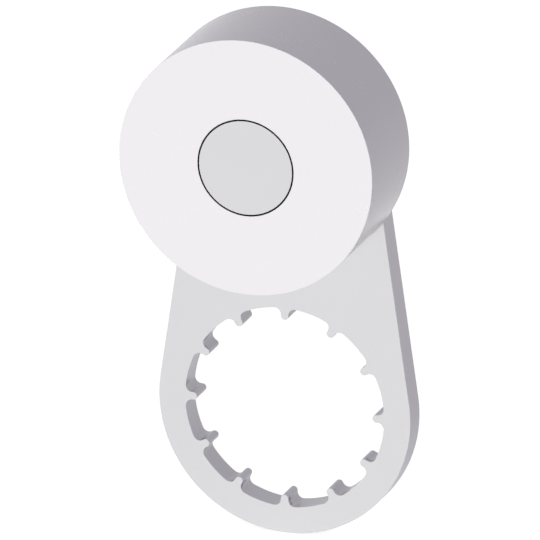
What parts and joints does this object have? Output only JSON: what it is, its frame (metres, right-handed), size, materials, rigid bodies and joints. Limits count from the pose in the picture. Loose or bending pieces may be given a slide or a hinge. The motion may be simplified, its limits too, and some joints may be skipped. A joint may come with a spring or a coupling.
{
  "type": "window crank operator",
  "caption": "Flat crank arm with a ribbed socket for a fluted window-operator knob, and a large round grip knob that turns freely on a spindle.",
  "frame": {"origin": "on the socket's axis, in the plane of the arm's flat back face", "axes": "+Z along the arm from the socket to the knob, +Y out of the arm's back, towards the window operator, -Y the side of the knob, +X to the right when looking at the knob's face"},
  "size_m": [0.048, 0.0255, 0.1006],
  "materials": {
    "grey_moulding": "fine satin moulded light grey plastic",
    "white_moulding": "fine satin moulded white plastic",
    "bearing_plastic": "natural acetal, turned smooth",
    "steel": "ground and polished steel",
    "zinc_plated": "bright zinc plate",
    "brass": "turned brass"
  },
  "bodies": {
    "arm": {"crank_arm": "grey_moulding", "arm_insert": "brass", "locating_pins": "steel", "spindle": "steel", "rear_thrust_washer": "bearing_plastic", "front_thrust_washer": "bearing_plastic", "disc_spring": "steel", "retaining_washer": "steel", "lock_washer": "zinc_plated", "clamp_screw": "zinc_plated", "spindle_cap": "grey_moulding"},
    "knob": {"knob_shell": "white_moulding", "front_bush": "bearing_plastic", "rear_bush": "bearing_plastic", "back_cover": "white_moulding", "cover_screws": "zinc_plated"}
  },
  "joints": [
    {"name": "knob_spin", "type": "hinge", "parent": "arm", "child": "knob", "pos_m": [0, -0.0156, 0.0526], "axis": [0, 1, 0], "continuous": true}
  ]
}
